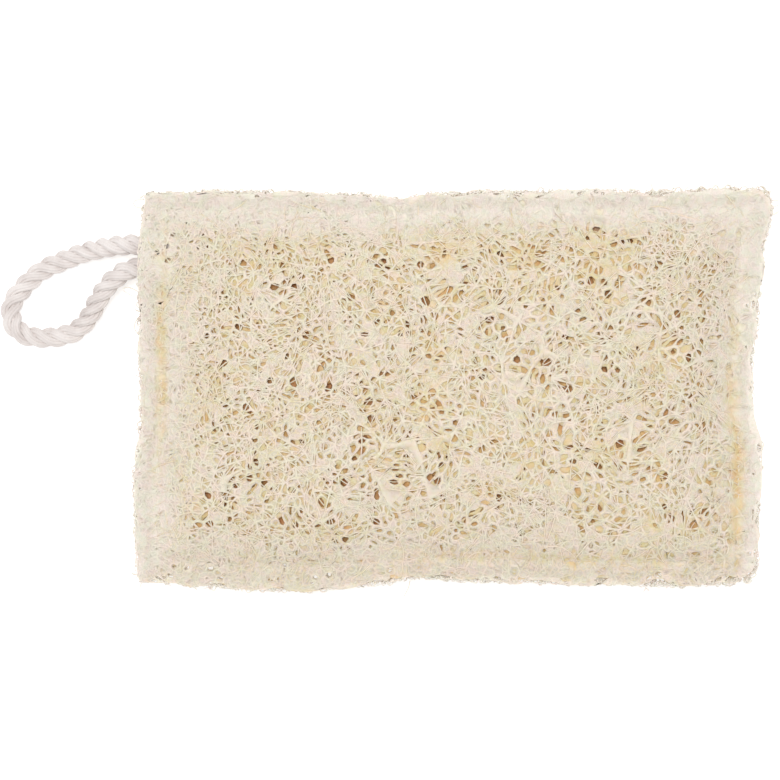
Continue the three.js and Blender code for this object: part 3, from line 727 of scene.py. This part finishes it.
def loofah_material(name, tones, skin, thin):
    """Fibre with these tones from its surface inwards. Its skin holds a finer net of veins, and is
    thin in specks."""
    material = bpy.data.materials.new(name)
    material.use_nodes = True
    nodes, links = material.node_tree.nodes, material.node_tree.links
    shader = nodes["Principled BSDF"]

    def set_or_link(socket, value):
        if isinstance(value, tuple):
            socket.default_value = (*value, 1)
        elif isinstance(value, float):
            socket.default_value = value
        else:
            links.new(value, socket)

    def ranged(value, from_min, from_max, to_min=0.0, to_max=1.0):
        node = nodes.new("ShaderNodeMapRange")
        for key, number in (("Value", value), ("From Min", from_min), ("From Max", from_max),
                            ("To Min", to_min), ("To Max", to_max)):
            set_or_link(node.inputs[key], number)
        return node.outputs["Result"]

    def worked(operation, a, b):
        node = nodes.new("ShaderNodeMath")
        node.operation = operation
        node.use_clamp = operation != "ADD"
        for socket, value in zip(node.inputs, (a, b)):
            set_or_link(socket, value)
        return node.outputs["Value"]

    def blended(factor, a, b, how="MIX"):
        node = nodes.new("ShaderNodeMix")
        node.data_type = "RGBA"
        node.blend_type = how
        for key, value in (("Factor", factor), ("A", a), ("B", b)):
            set_or_link(node.inputs[key], value)
        return node.outputs["Result"]

    def noted(note):
        node = nodes.new("ShaderNodeAttribute")
        node.attribute_name = note
        return node.outputs["Fac"]

    place = nodes.new("ShaderNodeTexCoord").outputs["Object"]

    def cloud(scale, detail):
        node = nodes.new("ShaderNodeTexNoise")
        node.inputs["Scale"].default_value = scale
        node.inputs["Detail"].default_value = detail
        links.new(place, node.inputs["Vector"])
        return node.outputs["Fac"]

    ramp = nodes.new("ShaderNodeValToRGB")
    stops = ramp.color_ramp.elements
    stops[0].position, stops[0].color = tones[0][0], (*tones[0][1], 1)
    stops[1].position, stops[1].color = tones[-1][0], (*tones[-1][1], 1)
    for position, colour in tones[1:-1]:
        stops.new(position).color = (*colour, 1)
    # The ramp follows the depth below the surface, so deeper places are painted darker: partly the inner
    # fibre's tone, partly painted shade.
    deep = noted("deep")
    tone = worked("ADD", ranged(cloud(95.0, 5.0), 0.3, 0.7, -0.075, 0.075),
                  ranged(cloud(1000.0, 2.0), 0.35, 0.65, -0.05, 0.07))
    links.new(worked("ADD", deep, tone), ramp.inputs["Fac"])

    veins = nodes.new("ShaderNodeTexVoronoi")
    veins.feature = "DISTANCE_TO_EDGE"
    veins.inputs["Scale"].default_value = 800.0
    links.new(place, veins.inputs["Vector"])
    fine = worked("MULTIPLY", ranged(veins.outputs["Distance"], 0.11, 0.03),
                  ranged(cloud(420.0, 2.0), 0.4, 0.6, 0.1, 0.75))
    lines = worked("MAXIMUM", ranged(noted("ridge"), 0.05, 0.75), fine)
    between = worked("SUBTRACT", 1.0, lines)
    shallow = ranged(deep, 0.16, 0.05)
    toned = blended(worked("MULTIPLY", shallow, between), ramp.outputs["Color"], skin)
    specks = worked("MULTIPLY", ranged(cloud(2000.0, 2.0), 0.52, 0.62), between)
    specked = blended(worked("MULTIPLY", worked("MULTIPLY", specks, shallow), 0.6), toned, thin)
    # Painted light: paler towards the cut edge, most along the top and the ends.
    margin_paled_and_lit = blended(worked("MULTIPLY", noted("pale"), 0.55), specked, MARGIN_PALE_AND_LIT)
    hue = blended(ranged(cloud(480.0, 3.0), 0.36, 0.64), (0.955, 1.02, 0.97), (1.045, 0.97, 1.02))
    links.new(blended(1.0, margin_paled_and_lit, hue, "MULTIPLY"), shader.inputs["Base Color"])

    bump = nodes.new("ShaderNodeBump")
    bump.inputs["Strength"].default_value = 0.5
    bump.inputs["Distance"].default_value = 0.00012
    rough = worked("MULTIPLY", cloud(2600.0, 4.0), 0.6)
    links.new(worked("ADD", lines, rough), bump.inputs["Height"])
    links.new(bump.outputs["Normal"], shader.inputs["Normal"])
    shader.inputs["Roughness"].default_value = 0.75
    shader.inputs["Subsurface Weight"].default_value = 0.4
    shader.inputs["Subsurface Radius"].default_value = (1.0, 1.0, 1.0)
    shader.inputs["Subsurface Scale"].default_value = 0.5 * MM
    return material


loofah = loofah_material("dry loofah", FIBRE_TONES_AND_DEPTH_SHADE, (0.66, 0.565, 0.465), (0.48, 0.40, 0.235))
# The frayed edge is painted almost white: painted light for the light its fibres catch at the cut edge.
edge_fibre = loofah_material("edge fibre with painted light", [(0.0, EDGE_PALE), (1.0, EDGE_PALE)],
                             (0.86, 0.78, 0.68), (0.82, 0.73, 0.61))


# Loose fibres. Single fibres that came free of the net when the gourd was pressed flat. They lie
# over it and dip into it at both ends, and some run across the wide holes.
STRANDS_ON = {1: 1150, -1: 450}
STRAND_STEP = 0.75
STRAND_STEPS = (5, 6, 7, 8, 9, 11, 14, 18)
STRAND_RADII = (0.09, 0.19)
CROSSING_RADII = (0.10, 0.18)


def crossing_strand(rng, hole_x, hole_y, seed, side):
    """A short fibre across a hole."""
    turn, reach = rng.uniform(0, math.pi), rng.uniform(1.3, 1.9)
    x, y = (float(c[0]) for c in drawn(np.array([hole_x]), np.array([hole_y])))
    t = np.array([-1.0, -0.4, 0.3, 1.0])
    px, py = x + reach * t * math.cos(turn), y + reach * t * math.sin(turn) + 0.15 * t * t
    local = layer_height(px, py, side) + HILL * hills(px, py, seed) - 0.25
    thick = np.full(len(t), rng.uniform(*CROSSING_RADII) * MM)
    return on_pad(px, py, rested(local, side), side), thick


def strands(name, seed, side, count, holes):
    """So many loose fibres on one side of the pad, those across its wide holes first."""
    rng = random.Random(seed)
    lines = []
    for x, y, room in holes:
        if room == WIDE_ROOM and rng.random() < 0.5:
            lines.append(crossing_strand(rng, x, y, seed, side))
    while len(lines) < count:
        x, y = rng.uniform(-74, 74), rng.uniform(-46, 46)
        if inside_edge(x, y) < 3:
            continue
        heading = 2 * math.pi * noise.noise((x / 25, y / 25, seed)) + rng.gauss(0, 0.7)
        curl = rng.gauss(0, 0.09)
        steps = rng.choice(STRAND_STEPS)
        points = []
        for _ in range(steps):
            points.append((x, y))
            heading += curl + rng.gauss(0, 0.07)
            x += STRAND_STEP * math.cos(heading)
            y += STRAND_STEP * math.sin(heading)
        points = np.array(points)
        inside = inside_edge(*points.T)
        if inside.min() < 1.2:
            continue
        along = np.linspace(0, 1, steps)
        from_end = np.minimum(along, 1 - along)
        rise = rng.uniform(0.0, 0.3) * np.minimum(1, 6 * from_end) - 0.22
        loose = np.clip(inside / LOOSE_WITHIN, 0.25, 1)
        local = layer_height(*points.T, side) + HILL * loose * hills(*points.T, seed) + rise
        thick = rng.uniform(*STRAND_RADII) * MM * (0.55 + 0.45 * np.minimum(1, 5 * from_end))
        lines.append((on_pad(*points.T, rested(local, side) - (0.15 if side < 0 else 0), side), thick))
    return fibres(name, lines)


# Frayed edge. Cut ends and small loops of fibre round the margin, and fibres that hold the two
# layers together there. A few longer ones stray out from the cut edge of the front layer.
FRINGE_EACH = 1200
FRINGE_RADII = (0.11, 0.2)
FRINGE_SET_IN = (0.4, 1.5)
FRINGE_REACHES_OUT = 1.7
STRAY_RADIUS = 0.15
# The stray fibres, each a line of x, y and height above the pad's middle
STRAYS = [
    [(-9.9, -48.0, 1.5), (-10.3, -49.8, 1.2), (-11.4, -51.9, 0.6)],
    [(48.6, -48.2, 1.2), (49.0, -49.8, 0.9), (48.4, -50.8, 0.6)],
    [(49.0, -49.8, 0.9), (49.9, -50.6, 0.7)],
    [(50.6, 48.4, 1.8), (50.5, 50.0, 1.6), (50.3, 51.2, 1.2)],
    [(-76.2, 47.1, 1.5), (-78.1, 47.0, 1.6), (-78.9, 46.1, 1.5), (-78.0, 45.2, 1.4), (-76.3, 45.0, 1.2)],
    [(-76.0, 17.4, 1.5), (-77.9, 17.2, 1.5), (-78.6, 15.6, 1.6), (-78.1, 14.0, 1.4), (-76.4, 13.6, 1.2)],
    [(-76.6, 23.3, 0.8), (-78.3, 24.5, 0.9), (-80.1, 25.2, 0.6), (-81.4, 25.1, 0.3), (-81.5, 24.5, 0.0),
     (-80.2, 23.6, 0.0), (-78.7, 22.9, 0.2), (-76.6, 22.7, 0.3)],
    [(76.0, -12.8, 1.6), (76.9, -12.8, 1.7), (78.0, -13.3, 1.6), (78.3, -14.2, 1.4), (77.8, -15.1, 1.3),
     (76.8, -15.4, 1.2), (76.0, -15.3, 1.2)],
    [(79.0, 46.2, 1.6), (80.6, 46.9, 1.8), (82.0, 46.8, 2.0)],
    [(79.3, 45.0, 1.2), (80.8, 45.2, 1.2), (82.1, 45.8, 1.0)],
    [(79.0, 43.6, 1.9), (80.9, 43.4, 2.1), (82.0, 44.2, 2.2)],
    [(78.6, 47.6, 1.0), (79.8, 48.8, 0.9), (80.6, 49.6, 0.7)],
    [(-75.5, -47.4, 1.0), (-77.0, -48.8, 0.6), (-77.4, -50.0, 0.3)],
]


def stray(points):
    """A long fibre that stands out from the cut edge."""
    x, y, rise = np.array(points).T
    places = np.column_stack([x * MM + PLAN_X, y * MM + PLAN_Y, PAD_MIDDLE_Z + rise * MM])
    line, _ = evenly(smooth_route([Vector(p) for p in places], 4), 0.5 * MM)
    return line, np.full(len(line), STRAY_RADIUS * MM)


def on_border(rng):
    """A place on the plan's outline, with the directions outwards and along it."""
    at = rng.uniform(0, 4 * (HALF_LENGTH + HALF_WIDTH))
    sign = rng.choice((-1, 1))
    if at < 4 * HALF_LENGTH:
        return Vector((at / 2 - HALF_LENGTH, sign * HALF_WIDTH)), Vector((0, sign)), Vector((1, 0))
    edge = Vector((sign * HALF_LENGTH, (at - 4 * HALF_LENGTH) / 2 - HALF_WIDTH))
    return edge, Vector((sign, 0)), Vector((0, 1))


def fringe(name, seed, side, count):
    """The frayed edge of one layer, with the strays on the front."""
    rng = random.Random(seed)
    lines = [stray(points) for points in STRAYS] if side > 0 else []
    for _ in range(count):
        edge, outward, along = on_border(rng)
        corner = inside_edge(edge.x, edge.y)
        start = edge + outward * (min(corner, 0) - rng.uniform(*FRINGE_SET_IN))
        kind = rng.random()
        if kind < 0.25:
            # A cut end
            reach, lean = rng.uniform(0.5, 1.5), rng.gauss(0, 0.8)
            path = [start + outward * (reach * t) + along * (lean * reach * t * t)
                    for t in (0, 0.3, 0.6, 1)]
            low = rng.uniform(0.1, 2.4)
            rise = [low + rng.gauss(0, 0.3) * t for t in (0, 1, 2, 3)]
            radii = [1.0, 0.95, 0.85, 0.6]
        elif kind < 0.65:
            # A small loop
            span, bulge = rng.uniform(0.8, 2.4), rng.uniform(0.5, 1.3)
            path = [start + along * (span * (t - 0.5)) + outward * (bulge * (1 - (2 * t - 1) ** 2))
                    for t in (0, 0.15, 0.35, 0.65, 0.85, 1)]
            low = rng.uniform(0.2, 2.6)
            rise = [low + rng.gauss(0, 0.12) * t for t in range(6)]
            radii = [1.0] * 6
        else:
            # A fibre from this layer to the other
            lean, bulge = rng.gauss(0, 2.2), rng.uniform(0.3, 1.1)
            path = [start + along * (lean * t) + outward * (bulge * math.sin(math.pi * t))
                    for t in (0, 0.3, 0.7, 1)]
            rise = [2.9 * (1 - t) - 0.3 for t in (0, 0.3, 0.7, 1)]
            radii = [1.15] * 4
        x, y = np.array(path).T
        if inside_edge(x, y).min() < -FRINGE_REACHES_OUT:
            continue
        thick = rng.uniform(*FRINGE_RADII) * MM * np.array(radii)
        lines.append((on_pad(x, y, np.clip(rise, -0.4, 3.2), side), thick))
    return fibres(name, lines)


# The two layers. Each is a sheet of loofah: the net that is seen, a veil over it, two nets inside
# with the innermost closed into a lining, the loose fibres and the frayed edge. The back isn't
# seen, so its cells are larger and its wide holes fall anywhere.
BACK_COARSER = 1.2
BACK_HOLES = 60
STRAND_BRIGHT, FRINGE_BRIGHT = 1.0, 0.6

front_holes = holes_at(WIDE_HOLES, WIDE_ROOM) + holes_at(DARK_SPOTS, DARK_ROOM)
edge_holes = holes_at(LIGHT_HOLES, LIGHT_ROOM)
back_random = random.Random(8)
back_holes = [(back_random.uniform(-66, 66), back_random.uniform(-38, 38), WIDE_ROOM)
              for _ in range(BACK_HOLES)]
for side, word, seed, coarse, layer_holes in ((1, "front", 21, 1.0, front_holes),
                                              (-1, "back", 57, BACK_COARSER, back_holes)):
    holes = layer_holes + edge_holes
    veil_holes = [(x, y, (0.6 * room[0], 0.62 * room[0])) for x, y, room in holes if room != DARK_ROOM]
    outer = net(f"{word}_outer", seed, holes, spacing=2.2 * coarse, border=-0.1, joined_share=0.3,
                fibre=0.2, drop=0.08, wander=0.18, web=0.6, skin=0.16)
    surface = joined(f"{word}_net", [lay_on(outer, side, 0.12, seed)])
    thin_net = net(f"{word}_veil_net", seed + 11, veil_holes, spacing=2.4 * coarse, border=0.1,
                   joined_share=0.6, fibre=0.12, drop=0.06, wander=0.14, foam=False)
    veil = joined(f"{word}_veil", [lay_on(thin_net, side, -0.02, seed)])
    inner = net(f"{word}_inner", seed + 1, holes, spacing=2.8 * coarse, border=0.0,
                joined_share=0.15, fibre=0.28, drop=0.1, wander=0.2, web=0.55, skin=0.18)
    lay_on(inner, side, 0.55, seed)
    lining = net(f"{word}_lining", seed + 7, holes, spacing=2.9 * coarse, border=0.7,
                 joined_share=0.0, fibre=0.5, drop=0.12, wander=0.25, cup=2.0)
    lay_on(lining, side, 1.15, seed, pits=1.6)
    body = joined(f"{word}_inner_nets", [inner, lining])
    loose = strands(f"{word}_strands", seed, side, STRANDS_ON[side], layer_holes)
    frayed = fringe(f"{word}_fringe", seed + 3, side, FRINGE_EACH)
    for piece, bright in ((loose, STRAND_BRIGHT), (frayed, FRINGE_BRIGHT)):
        ridge = piece.data.attributes.new("ridge", "FLOAT", "POINT")
        ridge.data.foreach_set("value", np.full(len(piece.data.vertices), bright, np.float32))
    for piece in (veil, surface, body, loose, frayed):
        piece.data.materials.append(edge_fibre if piece is frayed else loofah)
        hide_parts(f"{word}_layer")
        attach(piece, "root")


# Seam. One thread of two plies sewn through both layers in short stitches, drawn down into the
# pressed channel so that the fibres close over most of it.
STITCH = 3.6
THREAD_RADIUS = 0.24 * MM
THREAD_LAY = 2.4
PLY_OFF_THREAD, PLY_RADIUS = 0.5, 0.62
SEAM_STEP = 0.55
SEAM_TOP = 1.35
# A stitch's height at places along it, as a share of the top
STITCH_SHAPE = ((0.0, 0.0), (0.12, 0.75), (0.3, 1.0), (0.5, 1.03), (0.7, 1.0), (0.88, 0.75))

seam_x, seam_y = HALF_LENGTH - SEAM_INSET, HALF_WIDTH - SEAM_INSET
corners = [(-seam_x, -seam_y), (seam_x, -seam_y), (seam_x, seam_y), (-seam_x, seam_y), (-seam_x, -seam_y)]
seam_path = []
for (x0, y0), (x1, y1) in zip(corners, corners[1:]):
    stitches = round(math.hypot(x1 - x0, y1 - y0) / STITCH)
    seam_path += [(x0 + (x1 - x0) * k / stitches, y0 + (y1 - y0) * k / stitches) for k in range(stitches)]
seam_path.append(seam_path[0])
threads = []
for side in (1, -1):
    places, heights = [], []
    for (x0, y0), (x1, y1) in zip(seam_path, seam_path[1:]):
        for t, high in STITCH_SHAPE:
            places.append((x0 + (x1 - x0) * t, y0 + (y1 - y0) * t))
            heights.append(high * SEAM_TOP)
    places.append(places[0])
    heights.append(heights[0])
    line, _ = evenly(on_pad(*np.array(places).T, np.array(heights), side), SEAM_STEP * MM)
    across, above = carried_frames(line)
    turn = np.linspace(0, len(line) * SEAM_STEP / THREAD_LAY * 2 * math.pi, len(line))
    for ply in (0, math.pi):
        off = across * np.cos(turn + ply)[:, None] + above * np.sin(turn + ply)[:, None]
        twisted = line + PLY_OFF_THREAD * THREAD_RADIUS * off
        threads.append((twisted, np.full(len(line), PLY_RADIUS * THREAD_RADIUS)))
seam = fibres("seam_stitching", threads)
seam.data.materials.append(cotton_material("sewing thread", (0.78, 0.70, 0.57), (0.70, 0.60, 0.45)))
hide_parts("seam_thread")
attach(seam, "root")


# Floor and light. A white surface under soft, even light from all round, and one large soft lamp.
FLOOR_SIZE = 4.0

bm = bmesh.new()
bmesh.ops.create_grid(bm, x_segments=1, y_segments=1, size=FLOOR_SIZE / 2)
floor_mesh = bpy.data.meshes.new("floor")
bm.to_mesh(floor_mesh)
bm.free()
floor = bpy.data.objects.new("floor", floor_mesh)
bpy.context.scene.collection.objects.link(floor)
floor_material = bpy.data.materials.new("white surface")
floor_material.use_nodes = True
floor_shader = floor_material.node_tree.nodes["Principled BSDF"]
floor_shader.inputs["Base Color"].default_value = (0.96, 0.96, 0.96, 1)
floor_shader.inputs["Roughness"].default_value = 0.9
floor_shader.inputs["Emission Color"].default_value = (1, 1, 1, 1)
floor_shader.inputs["Emission Strength"].default_value = 0.35
floor_mesh.materials.append(floor_material)

world = bpy.data.worlds.new("studio")
bpy.context.scene.world = world
world.use_nodes = True
world.node_tree.nodes["Background"].inputs["Color"].default_value = (1, 1, 1, 1)
world.node_tree.nodes["Background"].inputs["Strength"].default_value = 0.6

lamp_data = bpy.data.lights.new("soft lamp", "AREA")
lamp_data.shape = "DISK"
lamp_data.size = 0.4
lamp_data.energy = 11.0
lamp = bpy.data.objects.new("soft lamp", lamp_data)
bpy.context.scene.collection.objects.link(lamp)
lamp.location = (-0.10, 0.14, 1.3)
lamp.rotation_euler = (Vector((0, 0, 0)) - lamp.location).to_track_quat("-Z", "Y").to_euler()

bpy.context.scene.view_settings.view_transform = "Standard"
bpy.context.scene.view_settings.gamma = 1.2
